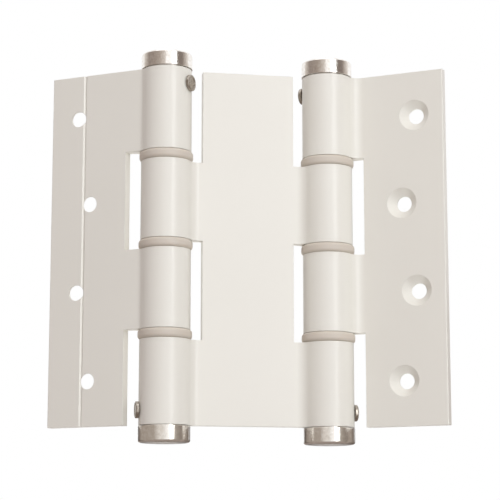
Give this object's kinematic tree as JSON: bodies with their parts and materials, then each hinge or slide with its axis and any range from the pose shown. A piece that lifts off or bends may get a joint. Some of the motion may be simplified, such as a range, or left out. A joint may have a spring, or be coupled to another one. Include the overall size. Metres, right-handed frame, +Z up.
{
  "type": "double action spring hinge",
  "caption": "Double action spring hinge: drilled outer leaves on both sides of a plain centre leaf, joined by two upright sprung barrels with nylon washers and metal end caps.",
  "frame": {"origin": "on the floor plane at the bottom of the lower caps, midway between the two barrels", "axes": "+Z up along both barrels, X along the outer leaves from the frame side at -X to the door side at +X, the frame leaf's mounting face looks to -Y and the door leaf's to +Y"},
  "size_m": [0.159, 0.0624, 0.164],
  "materials": {
    "coated_leaf": "white powder coating on extruded aluminium",
    "nylon_washer": "moulded nylon, natural beige",
    "inner_tube": "drawn steel tube, plain",
    "plated_cap": "nickel plated steel, turned",
    "steel_pin": "bare steel pin with a flat round head",
    "spring_steel": "oiled spring wire"
  },
  "bodies": {
    "frame_side": {"frame_leaf": "coated_leaf", "frame_cap_top": "plated_cap", "frame_pin_top": "steel_pin"},
    "centre": {"centre_leaf": "coated_leaf", "frame_washer_top": "nylon_washer", "frame_washer_middle": "nylon_washer", "frame_washer_bottom": "nylon_washer", "door_washer_top": "nylon_washer", "door_washer_middle": "nylon_washer", "door_washer_bottom": "nylon_washer", "frame_tube": "inner_tube", "door_tube": "inner_tube", "frame_cap_bottom": "plated_cap", "frame_pin_bottom": "steel_pin", "door_cap_bottom": "plated_cap", "door_pin_bottom": "steel_pin", "frame_spring": "spring_steel", "door_spring": "spring_steel"},
    "door_side": {"door_leaf": "coated_leaf", "door_cap_top": "plated_cap", "door_pin_top": "steel_pin"}
  },
  "joints": [
    {"name": "frame_hinge", "type": "hinge", "parent": "frame_side", "child": "centre", "pos_m": [-0.02847, -0.01993, 0.082], "axis": [0, 0, 1], "range_deg": [-35, 145], "stiffness_Nm_per_rad": 0.2, "deforming": ["frame_spring"]},
    {"name": "door_hinge", "type": "hinge", "parent": "centre", "child": "door_side", "pos_m": [0.02847, 0.01993, 0.082], "axis": [0, 0, 1], "range_deg": [-145, 35], "stiffness_Nm_per_rad": 0.2, "deforming": ["door_spring"]}
  ]
}
